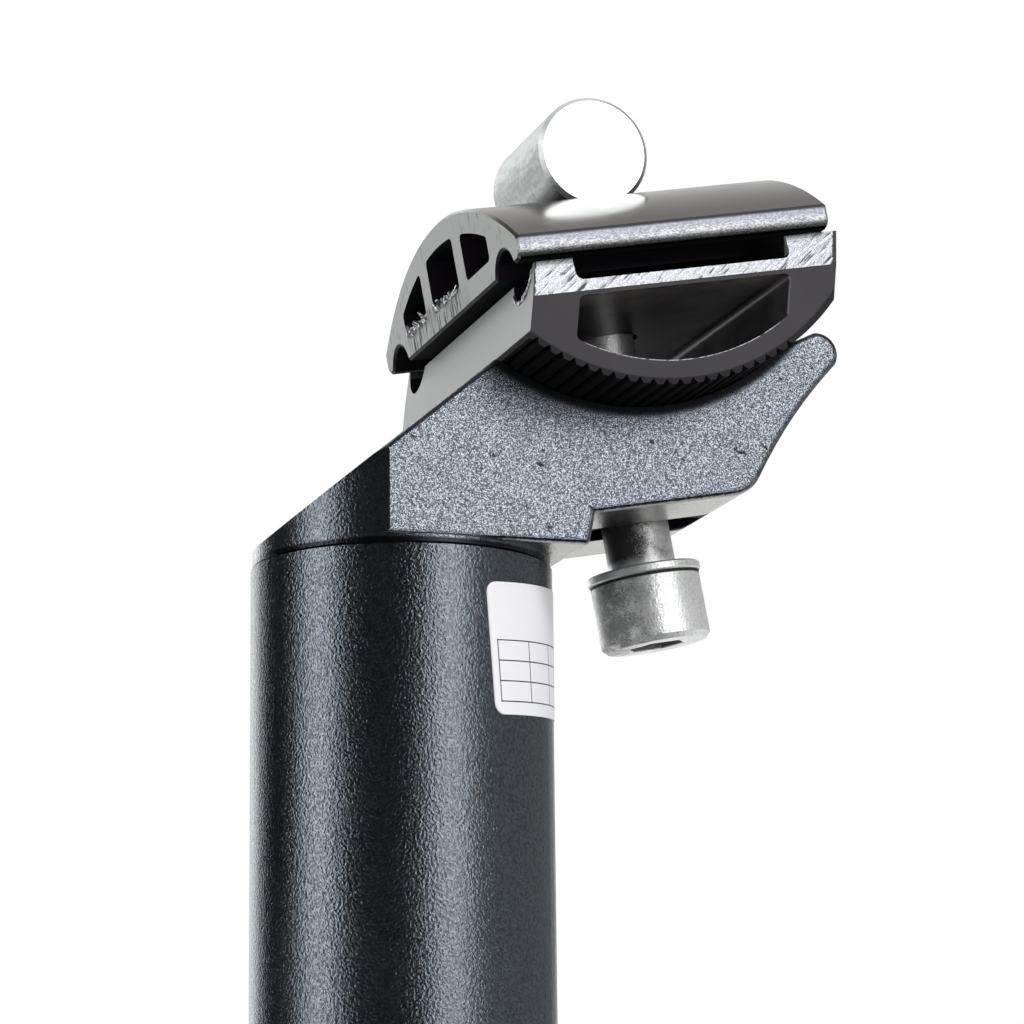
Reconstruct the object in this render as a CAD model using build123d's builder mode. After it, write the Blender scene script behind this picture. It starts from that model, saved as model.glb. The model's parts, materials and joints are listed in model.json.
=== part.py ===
# Bicycle seatpost with a one-screw rail clamp.
# The tube's axis is Z, its top rim is at Z = 0, and +X points to the rear of the bicycle.
import math
import os

from build123d import *

os.makedirs("parts", exist_ok=True)

# Tube
tube_diameter = 34.9
tube_wall = 2.5
tube_length = 300.0
tube_end_chamfer = 0.8

# Head: collar, neck, and the spigot inside the tube
collar_step = 0.2
flat_depth = 1.0
collar_height = 1.1
collar_chamfer = 0.3
neck_front_rise = 1.1
neck_slope = 39.6
spigot_length = 38.0
spigot_wall = 4.0
spigot_chamfer = 1.0
neck_floor = 4.0
bond_gap = 0.05
head_edge_fillet = 0.8

# Tilt centre of the clamp, and the lean of its rails
setback = 22.1
tilt_centre_height = 44.3
rail_tilt = 10.0

# Teeth, on circles about the tilt centre
tooth_radius = 26.8
tooth_depth = 0.65
tooth_pitch = 3.45
tooth_fill = 0.84
cradle_clearance = 0.15
cradle_stock = 1.0
cradle_rim = 1.3
cradle_rear_angle = 30.0

# Lug of the head: screw seat, slot and horn
seat_height = 6.6
seat_front_margin = 3.65
seat_rear_margin = 2.35
seat_step_lean = 0.9
seat_step_fillet = 0.7
seat_rear_fillet = 4.5
horn_angle = 41.8
horn_standoff = 3.7
horn_radius = 2.55
horn_hollow = 0.8
crest_fillet = 1.3
slot_side_clearance = 0.5
slot_travel = 4.0

# Rails and the grooves that hold them
rail_spacing = 44.0
rail_drop = 11.3
groove_radius = 3.6
groove_closed_height = 6.0

# Lower clamp
lower_front_angle = 43.1
lower_rear_angle = 44.7
lower_end_lean = 15.5
lower_end_fillet = 0.6
lower_flat_drop = 0.5
lip_height = 0.45
lip_tip_width = 0.5
lip_draft_width = 0.7
lip_draft_height = 4.05
lip_relief_front = 11.4
lip_relief_rear = 14.7
lip_relief_depth = 2.7
lip_relief_fillet = 0.9
window_roof = 1.1
window_floor = 2.15
window_front_angle = 32.4
window_rear_angle = 32.6
window_fillet = 0.7

# Upper clamp
upper_front = 18.1
upper_rear = 19.8
upper_flat_rise = 0.4
upper_lip_width = 2.05
upper_side_height = 2.75
arch_rise = 9.05
arch_wall = 2.75
jaw_gap = 0.15
lip_fillet = 1.2
web_offset = 6.95
web_thickness = 3.1
upper_window_inset = 0.7
upper_window_sill = 2.75
upper_window_fillet = 0.7
upper_end_chamfer = 0.3
screw_hole_clearance = 0.5

# Barrel nut in its trough
nut_diameter = 13.5
nut_length = 19.2
nut_chamfer = 0.5
trough_depth = 2.2
trough_clearance = 0.05
thread_clearance = 0.05

# Screw and washer
screw_diameter = 8.0
screw_past_nut = 4.6
screw_tip_chamfer = 0.9
screw_head_diameter = 13.0
screw_head_height = 8.0
screw_head_chamfer = 0.6
hex_across_flats = 6.0
hex_depth = 4.2
hex_point_depth = 1.2
washer_diameter = 13.5
washer_thickness = 1.1
washer_hole_clearance = 0.2
washer_chamfer = 0.2
washer_lift = 0.02
screw_back_off = 5.0

# Radii and half widths
tube_radius = tube_diameter / 2
bore_radius = tube_radius - tube_wall
spigot_radius = bore_radius - bond_gap
head_radius = tube_radius - collar_step
head_half_width = head_radius - flat_depth
screw_radius = screw_diameter / 2
screw_hole_radius = screw_radius + screw_hole_clearance
washer_radius = washer_diameter / 2
nut_radius = nut_diameter / 2
rail_offset = rail_spacing / 2
lip_outer = rail_offset + groove_radius + lip_tip_width
lower_half_width = lip_outer + lip_draft_width
upper_half_width = rail_offset + groove_radius + upper_lip_width
cradle_radius = tooth_radius + cradle_clearance
tooth_root_radius = tooth_radius - tooth_depth
window_radius = tooth_root_radius - window_floor

# Directions and planes through the tilt centre
lean = math.radians(rail_tilt)
rail_direction = Vector(math.cos(lean), 0, math.sin(lean))
screw_direction = Vector(-math.sin(lean), 0, math.cos(lean))
tilt_centre = Vector(setback, 0, tilt_centre_height)
side_plane = Plane(tilt_centre, x_dir=rail_direction, z_dir=(0, -1, 0))
end_plane = Plane(tilt_centre, x_dir=(0, 1, 0), z_dir=rail_direction)
screw_plane = Plane(tilt_centre, x_dir=rail_direction, z_dir=screw_direction)

# Heights along the screw, from the tilt centre
lower_flat = -rail_drop - lower_flat_drop
lower_lip = -rail_drop + lip_height
groove_floor = -rail_drop - groove_closed_height / 2
groove_roof = -rail_drop + groove_closed_height / 2
window_top = groove_floor - window_roof
upper_flat = -rail_drop + upper_flat_rise
upper_lip = lower_lip + jaw_gap
shoulder = upper_lip + upper_side_height
crest = shoulder + arch_rise
nut_centre = crest - trough_depth + nut_radius
seat = (seat_height - tilt_centre_height) / math.cos(lean)
washer_top = seat - screw_back_off
head_top = washer_top - washer_thickness - washer_lift
screw_tip = nut_centre + screw_past_nut
clamp_span = upper_front + upper_rear


def in_world(along, up):
    """X and Z of a point given along the rails and up the screw from the tilt centre."""
    point = tilt_centre + rail_direction * along + screw_direction * up
    return (point.X, point.Z)


def below_centre(radius, angle):
    """Place along and up of a point under the tilt centre, its angle counted from the screw to the rear."""
    turn = math.radians(angle)
    return (radius * math.sin(turn), -radius * math.cos(turn))


# Tube
with BuildPart() as tube:
    with BuildSketch():
        Circle(tube_radius)
        Circle(bore_radius, mode=Mode.SUBTRACT)
    extrude(amount=-tube_length)
    chamfer(tube.faces().sort_by(Axis.Z)[0].edges(), tube_end_chamfer)
tube.part.label = "tube"
export_step(tube.part, "parts/tube.step")

# Outline of the head, seen from the side
neck_rise = math.tan(math.radians(neck_slope))
neck_front_height = collar_height + neck_front_rise
neck_foot = -head_radius - neck_front_height / neck_rise
neck_over_centre = neck_front_height + neck_rise * (setback + head_radius) - tilt_centre_height
neck_square = 1 + neck_rise**2
forged_radius = cradle_radius - cradle_stock
crest_root = math.sqrt(neck_square * forged_radius**2 - neck_over_centre**2)
crest_along = (-neck_rise * neck_over_centre - crest_root) / neck_square
head_crest = (setback + crest_along, tilt_centre_height + neck_over_centre + neck_rise * crest_along)
cradle_rear = in_world(*below_centre(forged_radius, cradle_rear_angle))
cradle_low = (setback, tilt_centre_height - forged_radius)
seat_front = in_world(-washer_radius - seat_front_margin, seat)
seat_rear = in_world(washer_radius + seat_rear_margin, seat)
step_foot = (seat_front[0] - seat_step_lean, 0)
horn_centre = Vector(*in_world(*below_centre(cradle_radius + horn_standoff, horn_angle)))
to_cradle = (Vector(*cradle_rear) - horn_centre).normalized()
to_seat = (Vector(*seat_rear) - horn_centre).normalized()
horn_top = horn_centre + to_cradle.rotate(Axis.Z, -90) * horn_radius
horn_back = horn_centre + to_seat.rotate(Axis.Z, 90) * horn_radius
horn_tip = horn_centre - (to_cradle + to_seat).normalized() * horn_radius
hollow = (horn_back + Vector(*seat_rear)) * 0.5 + to_seat.rotate(Axis.Z, -90) * horn_hollow

# Teeth of the cradle lie half a pitch from the teeth of the lower clamp
tooth_arc = math.radians(tooth_pitch)
tooth_half_width = tooth_fill * tooth_arc * tooth_radius / 2
tooth_run_out = tooth_depth / 2
front_teeth = int(lower_front_angle / tooth_pitch)
rear_teeth = int(cradle_rear_angle / tooth_pitch)
cradle_teeth = front_teeth + rear_teeth
clamp_teeth = front_teeth + rear_teeth + 1
first_tooth = -90 - front_teeth * tooth_pitch
first_notch = first_tooth + tooth_pitch / 2

# Head: forging with collar, neck, toothed cradle and spigot
with BuildPart() as head:
    with BuildSketch(Plane.XZ) as outline:
        with BuildLine():
            Polyline((neck_foot, 0), step_foot, seat_front, seat_rear)
            ThreePointArc(seat_rear, hollow, horn_back)
            ThreePointArc(horn_back, horn_tip, horn_top)
            Line(horn_top, cradle_rear)
            ThreePointArc(cradle_rear, cradle_low, head_crest)
            Line(head_crest, (neck_foot, 0))
        make_face()
        fillet(outline.vertices().sort_by_distance(head_crest)[0], crest_fillet)
        fillet(outline.vertices().sort_by_distance(seat_rear)[0], seat_rear_fillet)
    extrude(amount=head_half_width, both=True)
    flats = head.faces().filter_by(Axis.Y)
    fillet(flats.edges().filter_by_position(Axis.Z, collar_height, tilt_centre_height), head_edge_fillet)
    with BuildSketch(Plane.XY.offset(collar_height)):
        Circle(head_radius)
        with Locations((setback + cradle_radius, 0)):
            Rectangle(2 * (setback + cradle_radius), 2 * head_half_width)
    extrude(amount=tilt_centre_height, mode=Mode.INTERSECT)
    step_edge = head.faces().sort_by(Axis.Z)[0].edges().sort_by(Axis.X)[-1]
    fillet(step_edge, seat_step_fillet)
    with BuildSketch():
        Circle(head_radius)
    extrude(amount=collar_height)
    chamfer(head.faces().sort_by(Axis.Z)[0].edges(), collar_chamfer)
    with BuildSketch():
        Circle(spigot_radius)
    extrude(amount=-spigot_length)
    chamfer(head.faces().sort_by(Axis.Z)[0].edges(), spigot_chamfer)
    with BuildSketch(Plane.XY.offset(-spigot_length)):
        Circle(spigot_radius - spigot_wall)
    extrude(amount=spigot_length - neck_floor, mode=Mode.SUBTRACT)
    with BuildSketch(screw_plane.offset(seat)):
        SlotOverall(2 * (screw_radius + slot_travel), 2 * (screw_radius + slot_side_clearance))
    extrude(amount=-seat - rail_drop, mode=Mode.SUBTRACT)
    with BuildSketch(side_plane):
        Circle(cradle_radius)
    extrude(amount=head_half_width, both=True, mode=Mode.SUBTRACT)
    with BuildSketch(side_plane):
        with PolarLocations(cradle_radius, cradle_teeth, first_notch, cradle_teeth * tooth_pitch):
            Polygon((tooth_depth, 0), (-tooth_run_out, tooth_half_width),
                    (-tooth_run_out, -tooth_half_width))
    extrude(amount=head_half_width - cradle_rim, both=True, mode=Mode.SUBTRACT)
head.part.label = "head"
export_step(head.part, "parts/head.step")

# Lower clamp: extruded block with a window, teeth below, rail grooves and lips above
lean_slope = math.tan(math.radians(lower_end_lean))
front_foot = below_centre(tooth_radius, -lower_front_angle)
rear_foot = below_centre(tooth_radius, lower_rear_angle)
front_top = (front_foot[0] + lean_slope * (lower_lip - front_foot[1]), lower_lip)
rear_top = (rear_foot[0] + lean_slope * (lower_lip - rear_foot[1]), lower_lip)
window_front_foot = below_centre(window_radius, -window_front_angle)
window_rear_foot = below_centre(window_radius, window_rear_angle)
window_front_top = (window_front_foot[0] + lean_slope * (window_top - window_front_foot[1]), window_top)
window_rear_top = (window_rear_foot[0] + lean_slope * (window_top - window_rear_foot[1]), window_top)
lip_draft_foot = lower_lip - lip_draft_height
lip_relief_length = lip_relief_front + lip_relief_rear
lip_relief_middle = (lip_relief_rear - lip_relief_front) / 2

with BuildPart() as lower_clamp:
    with BuildSketch(side_plane) as section:
        with BuildLine():
            Polyline(front_foot, front_top, rear_top, rear_foot)
            ThreePointArc(rear_foot, (0, -tooth_radius), front_foot)
        make_face()
        fillet(section.vertices().sort_by_distance(rear_foot)[0], lower_end_fillet)
        with PolarLocations(tooth_radius, clamp_teeth, first_tooth, clamp_teeth * tooth_pitch):
            Polygon((-tooth_depth, 0), (tooth_run_out, -tooth_half_width),
                    (tooth_run_out, tooth_half_width), mode=Mode.SUBTRACT)
        with BuildSketch(mode=Mode.SUBTRACT) as window:
            with BuildLine():
                Polyline(window_front_foot, window_front_top, window_rear_top, window_rear_foot)
                ThreePointArc(window_rear_foot, (0, -window_radius), window_front_foot)
            make_face()
            fillet(window.vertices(), window_fillet)
    extrude(amount=lower_half_width, both=True)
    with BuildSketch(end_plane):
        with Locations((0, lower_flat)):
            Rectangle(2 * rail_offset, 2 * rail_drop, align=(Align.CENTER, Align.MIN))
        for side in (-1, 1):
            with Locations((side * rail_offset, groove_floor + groove_radius)):
                Circle(groove_radius)
            Polygon((side * lower_half_width, lip_draft_foot), (side * lower_half_width, lower_lip),
                    (side * lip_outer, lower_lip), align=None)
    extrude(amount=clamp_span, both=True, mode=Mode.SUBTRACT)
    for side in (-1, 1):
        with BuildSketch(side_plane.offset(side * rail_offset)) as relief:
            with Locations((lip_relief_middle, lower_lip)):
                Rectangle(lip_relief_length, 2 * lip_relief_depth)
            fillet(relief.vertices(), lip_relief_fillet)
        extrude(amount=side * rail_offset, mode=Mode.SUBTRACT)
    with BuildSketch(screw_plane):
        Circle(screw_hole_radius)
    extrude(amount=-2 * tooth_radius, mode=Mode.SUBTRACT)
lower_clamp.part.label = "lower_clamp"
export_step(lower_clamp.part, "parts/lower_clamp.step")

# Upper clamp: extruded arch with three windows, rail grooves below and a trough on its crest
arch_radius = (upper_half_width**2 + arch_rise**2) / (2 * arch_rise)
arch_centre = crest - arch_radius
window_arc_radius = arch_radius - arch_wall
window_edge = rail_offset - groove_radius - upper_window_inset
window_corner = arch_centre + math.sqrt(window_arc_radius**2 - window_edge**2)
window_sill = upper_flat + upper_window_sill

with BuildPart() as upper_clamp:
    with BuildSketch(end_plane.offset(-upper_front)) as profile:
        with BuildLine():
            ThreePointArc((-upper_half_width, shoulder), (0, crest), (upper_half_width, shoulder))
            Polyline((upper_half_width, shoulder), (upper_half_width, upper_lip), (rail_offset, upper_lip),
                     (rail_offset, upper_flat), (-rail_offset, upper_flat), (-rail_offset, upper_lip),
                     (-upper_half_width, upper_lip), (-upper_half_width, shoulder))
        make_face()
        for side in (-1, 1):
            corner = (side * upper_half_width, upper_lip)
            fillet(profile.vertices().sort_by_distance(corner)[0], lip_fillet)
        for side in (-1, 1):
            with Locations((side * rail_offset, groove_roof - groove_radius)):
                Circle(groove_radius, mode=Mode.SUBTRACT)
        with BuildSketch(mode=Mode.SUBTRACT) as windows:
            with BuildLine():
                ThreePointArc((-window_edge, window_corner), (0, crest - arch_wall),
                              (window_edge, window_corner))
                Polyline((window_edge, window_corner), (window_edge, window_sill),
                         (-window_edge, window_sill), (-window_edge, window_corner))
            make_face()
            with Locations((-web_offset, 0), (web_offset, 0)):
                Rectangle(web_thickness, 2 * rail_drop, mode=Mode.SUBTRACT)
            fillet(windows.vertices(), upper_window_fillet)
    extrude(amount=clamp_span)
    along_rails = Axis(tilt_centre, rail_direction)
    for end in (0, -1):
        chamfer(upper_clamp.faces().sort_by(along_rails)[end].outer_wire().edges(), upper_end_chamfer)
    with BuildSketch(side_plane):
        with Locations((0, nut_centre)):
            Circle(nut_radius + trough_clearance)
    extrude(amount=upper_half_width, both=True, mode=Mode.SUBTRACT)
    with BuildSketch(screw_plane):
        Circle(screw_hole_radius)
    extrude(amount=2 * rail_drop, both=True, mode=Mode.SUBTRACT)
upper_clamp.part.label = "upper_clamp"
export_step(upper_clamp.part, "parts/upper_clamp.step")

# Barrel nut: cross dowel that lies in the trough
with BuildPart() as barrel_nut:
    with BuildSketch(side_plane):
        with Locations((0, nut_centre)):
            Circle(nut_radius)
    extrude(amount=nut_length / 2, both=True)
    chamfer(barrel_nut.edges().filter_by(GeomType.CIRCLE), nut_chamfer)
    with BuildSketch(screw_plane):
        Circle(screw_radius + thread_clearance)
    extrude(amount=nut_centre + nut_diameter, both=True, mode=Mode.SUBTRACT)
barrel_nut.part.label = "barrel_nut"
export_step(barrel_nut.part, "parts/barrel_nut.step")

# Clamp bolt: socket-head cap screw, put in from below
with BuildPart() as clamp_bolt:
    with BuildSketch(screw_plane.offset(head_top)):
        Circle(screw_head_diameter / 2)
    extrude(amount=-screw_head_height)
    chamfer(clamp_bolt.edges().filter_by(GeomType.CIRCLE).sort_by(Axis.Z)[0], screw_head_chamfer)
    with BuildSketch(screw_plane.offset(head_top)):
        Circle(screw_radius)
    extrude(amount=screw_tip - head_top)
    chamfer(clamp_bolt.edges().filter_by(GeomType.CIRCLE).sort_by(Axis.Z)[-1], screw_tip_chamfer)
    with BuildSketch(screw_plane.offset(head_top - screw_head_height)):
        RegularPolygon(hex_across_flats / 2, 6, major_radius=False)
    extrude(amount=hex_depth, mode=Mode.SUBTRACT)
    with BuildSketch(screw_plane.offset(head_top - screw_head_height + hex_depth)):
        Circle(hex_across_flats / 2)
    extrude(amount=hex_point_depth, taper=60, mode=Mode.SUBTRACT)
clamp_bolt.part.label = "clamp_bolt"
export_step(clamp_bolt.part, "parts/clamp_bolt.step")

# Washer on the screw's head
with BuildPart() as washer:
    with BuildSketch(screw_plane.offset(washer_top)):
        Circle(washer_radius)
        Circle(screw_radius + washer_hole_clearance, mode=Mode.SUBTRACT)
    extrude(amount=-washer_thickness)
    rim_edges = washer.edges().filter_by(GeomType.CIRCLE).sort_by(SortBy.RADIUS)[-2:]
    chamfer(rim_edges, washer_chamfer)
washer.part.label = "washer"
export_step(washer.part, "parts/washer.step")
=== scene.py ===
# Bicycle seatpost: finishes, small pieces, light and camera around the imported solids
import json
import math

import bpy
from mathutils import Matrix, Vector


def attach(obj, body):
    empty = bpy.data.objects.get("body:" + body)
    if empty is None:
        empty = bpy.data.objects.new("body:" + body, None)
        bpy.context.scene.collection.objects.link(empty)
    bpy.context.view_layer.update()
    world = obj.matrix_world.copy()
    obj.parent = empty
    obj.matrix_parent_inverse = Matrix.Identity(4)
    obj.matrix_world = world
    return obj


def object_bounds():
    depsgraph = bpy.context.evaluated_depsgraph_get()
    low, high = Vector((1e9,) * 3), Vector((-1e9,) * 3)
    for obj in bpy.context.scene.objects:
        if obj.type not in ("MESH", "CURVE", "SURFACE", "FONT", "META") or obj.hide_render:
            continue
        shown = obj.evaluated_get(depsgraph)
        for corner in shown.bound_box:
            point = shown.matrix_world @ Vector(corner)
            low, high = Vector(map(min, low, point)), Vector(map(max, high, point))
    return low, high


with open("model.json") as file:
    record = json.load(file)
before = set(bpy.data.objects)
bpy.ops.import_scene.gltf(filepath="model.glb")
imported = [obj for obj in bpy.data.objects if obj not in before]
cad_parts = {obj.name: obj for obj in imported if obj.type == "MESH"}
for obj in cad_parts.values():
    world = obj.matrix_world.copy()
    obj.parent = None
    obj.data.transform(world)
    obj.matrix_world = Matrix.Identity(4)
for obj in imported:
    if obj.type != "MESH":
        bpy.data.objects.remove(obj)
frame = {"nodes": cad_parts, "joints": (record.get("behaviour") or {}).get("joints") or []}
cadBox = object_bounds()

mm = 0.001
white = (1, 1, 1, 1)
scene = bpy.context.scene
nodes = frame["nodes"]
joints = {joint["name"]: joint for joint in frame["joints"]}
tubeRadius = max(corner[0] for corner in nodes["tube"].bound_box)

# the clamp's own axes: along the rails, across, and up the screw
tiltCentre = Vector(joints["clamp_tilt"]["pos_m"])
screwDir = Vector(joints["jaw_open"]["axis"]).normalized()
railDir = Vector((screwDir.z, 0, -screwDir.x))
railLean = math.atan2(railDir.z, railDir.x)
acrossDir = Vector((0, 1, 0))
upDir = Vector((0, 0, 1))

# sizes of the solids that the finishes and burrs follow, counted from the tilt centre
lowerJaw = {"toothRadius": 26.8 * mm, "windowRadius": 24.0 * mm, "halfWidth": 26.8 * mm,
            "endSlope": math.tan(math.radians(15.5)), "frontEnd": -12.88 * mm, "rearEnd": 24.13 * mm,
            "grooveOffset": 22.0 * mm, "grooveDrop": 10.7 * mm, "grooveRadius": 3.6 * mm}
upperJaw = {"halfWidth": 27.65 * mm, "shoulder": -7.95 * mm}
headSlot = {"halfLength": 8.0 * mm, "halfWidth": 4.5 * mm}

# in the settings below a noise is grain size, detail and roughness, and a range fades from its
# first value to its second; steps are a range counted from a size of the solid


def addNode(tree, kind, inputs=None, **settings):
    node = tree.nodes.new(kind if "Node" in kind else "ShaderNode" + kind)
    for key, value in settings.items():
        setattr(node, key, value)
    for key, value in (inputs or {}).items():
        if isinstance(value, bpy.types.NodeSocket):
            tree.links.new(value, node.inputs[key])
        else:
            node.inputs[key].default_value = value
    return node


def calc(tree, operation, a, b=0.0, c=0.0, clamp=False):
    node = addNode(tree, "Math", {0: a, 1: b, 2: c}, operation=operation, use_clamp=clamp)
    return node.outputs[0]


def fold(tree, operation, values):
    result = values[0]
    for value in values[1:]:
        result = calc(tree, operation, result, value)
    return result


def product(tree, *values):
    return fold(tree, "MULTIPLY", values)


def largest(tree, *values):
    return fold(tree, "MAXIMUM", values)


def absolute(tree, value):
    return calc(tree, "ABSOLUTE", value)


def wander(tree, value, field, reach):
    # shifts a value by up to half of reach either way
    centred = calc(tree, "SUBTRACT", field, 0.5)
    return calc(tree, "MULTIPLY_ADD", centred, reach, value)


def noise(tree, coords, size, detail, roughness):
    node = addNode(tree, "TexNoise", {"Vector": coords, "Scale": 1 / size, "Detail": detail,
                                      "Roughness": roughness})
    return node.outputs[0]


def remap(tree, value, low, high, toLow=0.0, toHigh=1.0, smooth=False):
    kind = "SMOOTHSTEP" if smooth else "LINEAR"
    node = addNode(tree, "MapRange", {0: value, 1: low, 2: high, 3: toLow, 4: toHigh},
                   interpolation_type=kind, clamp=True)
    return node.outputs[0]


def beyond(start, steps):
    return start + steps[0], start + steps[1]


def mixColour(tree, factor, a, b):
    node = addNode(tree, "Mix", {0: factor, 6: a, 7: b}, data_type="RGBA")
    return node.outputs[2]


def mixValue(tree, factor, a, b):
    node = addNode(tree, "Mix", {0: factor, 2: a, 3: b}, data_type="FLOAT")
    return node.outputs[0]


def bump(tree, height, depth):
    return addNode(tree, "Bump", {"Height": height, "Distance": depth, "Strength": 1.0}).outputs[0]


def startMaterial(name):
    material = bpy.data.materials.new(name)
    material.use_nodes = True
    tree = material.node_tree
    tree.nodes.clear()
    shader = addNode(tree, "BsdfPrincipled")
    addNode(tree, "OutputMaterial", {"Surface": shader.outputs[0]})
    return material, tree, shader


def setInputs(tree, shader, **inputs):
    names = {"color": "Base Color", "roughness": "Roughness", "metallic": "Metallic", "normal": "Normal",
             "specular": "Specular IOR Level", "tint": "Specular Tint"}
    for key, value in inputs.items():
        if isinstance(value, bpy.types.NodeSocket):
            tree.links.new(value, shader.inputs[names[key]])
        else:
            shader.inputs[names[key]].default_value = value


def objectCoords(tree):
    return addNode(tree, "TexCoord").outputs["Object"]


def clampCoords(tree):
    # x along the rails, y across, z up the screw, from the tilt centre
    node = addNode(tree, "Mapping", {"Vector": objectCoords(tree), "Location": tiltCentre,
                                     "Rotation": (0, -railLean, 0)}, vector_type="TEXTURE")
    return node.outputs[0]


def split(tree, vector):
    return addNode(tree, "SeparateXYZ", {0: vector}).outputs


def tiltReach(tree, along, above):
    # distance from the tilt axis
    flat = addNode(tree, "CombineXYZ", {0: along, 2: above}).outputs[0]
    return addNode(tree, "VectorMath", {0: flat}, operation="LENGTH").outputs["Value"]


def facing(tree, direction):
    # 1 where a face looks this way, -1 where it looks the other way
    normal = addNode(tree, "TexCoord").outputs["Normal"]
    node = addNode(tree, "VectorMath", {0: normal, 1: direction}, operation="DOT_PRODUCT")
    return node.outputs["Value"]


def stretched(tree, coords, times, turn=(0, 0, 0)):
    # grains grow this many times as long on axes turned by turn
    node = addNode(tree, "Mapping", {"Vector": coords, "Scale": times, "Rotation": turn},
                   vector_type="TEXTURE")
    return node.outputs[0]


def dress(node, material):
    slots = nodes[node].data.materials
    slots.clear()
    slots.append(material)


# Dark pearl coat of the tube, pebbled, with a blue cast
tubeCoat = {"valley": (0.076, 0.087, 0.100, 1), "crest": (0.135, 0.154, 0.175, 1),
            "crestRange": (0.36, 0.62), "pebble": (0.34 * mm, 2, 0.55), "grain": (0.16 * mm, 1, 0.5),
            "grainShare": 0.35, "depth": 0.078 * mm, "cloud": (14 * mm, 3, 0.6), "cloudRange": (0.3, 0.7),
            "roughRange": (0.16, 0.22), "metallic": 0.97, "edgeTint": (0.75, 0.75, 0.74, 1)}


def pebbleColour(tree, pebble):
    return mixColour(tree, remap(tree, pebble, *tubeCoat["crestRange"]), tubeCoat["valley"],
                     tubeCoat["crest"])


def makeTubeCoat():
    material, tree, shader = startMaterial("tubePearlCoat")
    coords = objectCoords(tree)
    pebble = noise(tree, coords, *tubeCoat["pebble"])
    grain = noise(tree, coords, *tubeCoat["grain"])
    cloud = noise(tree, coords, *tubeCoat["cloud"])
    height = calc(tree, "MULTIPLY_ADD", grain, tubeCoat["grainShare"], pebble)
    rough = remap(tree, cloud, *tubeCoat["cloudRange"], *tubeCoat["roughRange"])
    setInputs(tree, shader, color=pebbleColour(tree, pebble), roughness=rough, metallic=tubeCoat["metallic"],
              tint=tubeCoat["edgeTint"], normal=bump(tree, height, tubeCoat["depth"]))
    return material


# The same coat over the shot-blasted forging: a sharp grit that glitters
headCoat = {"dark": (0.02, 0.022, 0.027, 1), "mid": (0.034, 0.039, 0.047, 1),
            "light": (0.30, 0.326, 0.366, 1), "under": (0.39, 0.39, 0.375, 1),
            "grit": (0.15 * mm, 1.5, 0.6), "glitterRange": (0.42, 0.66),
            "fine": (0.075 * mm, 1, 0.5), "fineShare": 0.4, "depth": 0.024 * mm,
            "flankRange": (0.90, 0.96), "underRange": (0.6, 0.8), "seamRange": (0.95 * mm, 0.7 * mm),
            "scar": (2.6 * mm, 2, 0.5), "scarStretch": (1, 1, 0.5), "scarTurn": (0, 0.6, 0),
            "scarRange": (0.71, 0.74), "scarGrit": (0.40, 0.55), "scarHeight": -1.5,
            "cradleSteps": (0.45 * mm, 0.25 * mm), "slotSteps": (0.06 * mm, 0.02 * mm),
            "cradleShadeSteps": (1.9 * mm, 0.25 * mm), "cradleShadeGrit": 1.4, "cradleShadeRange": (1.05, 1.35),
            "rimStart": (0.10, 0.30), "rimEnd": (0.985, 0.95), "rimUpward": (0.10, 0.25),
            "roughness": 0.23, "shadeRough": 0.7, "metallic": 0.97}


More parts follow.
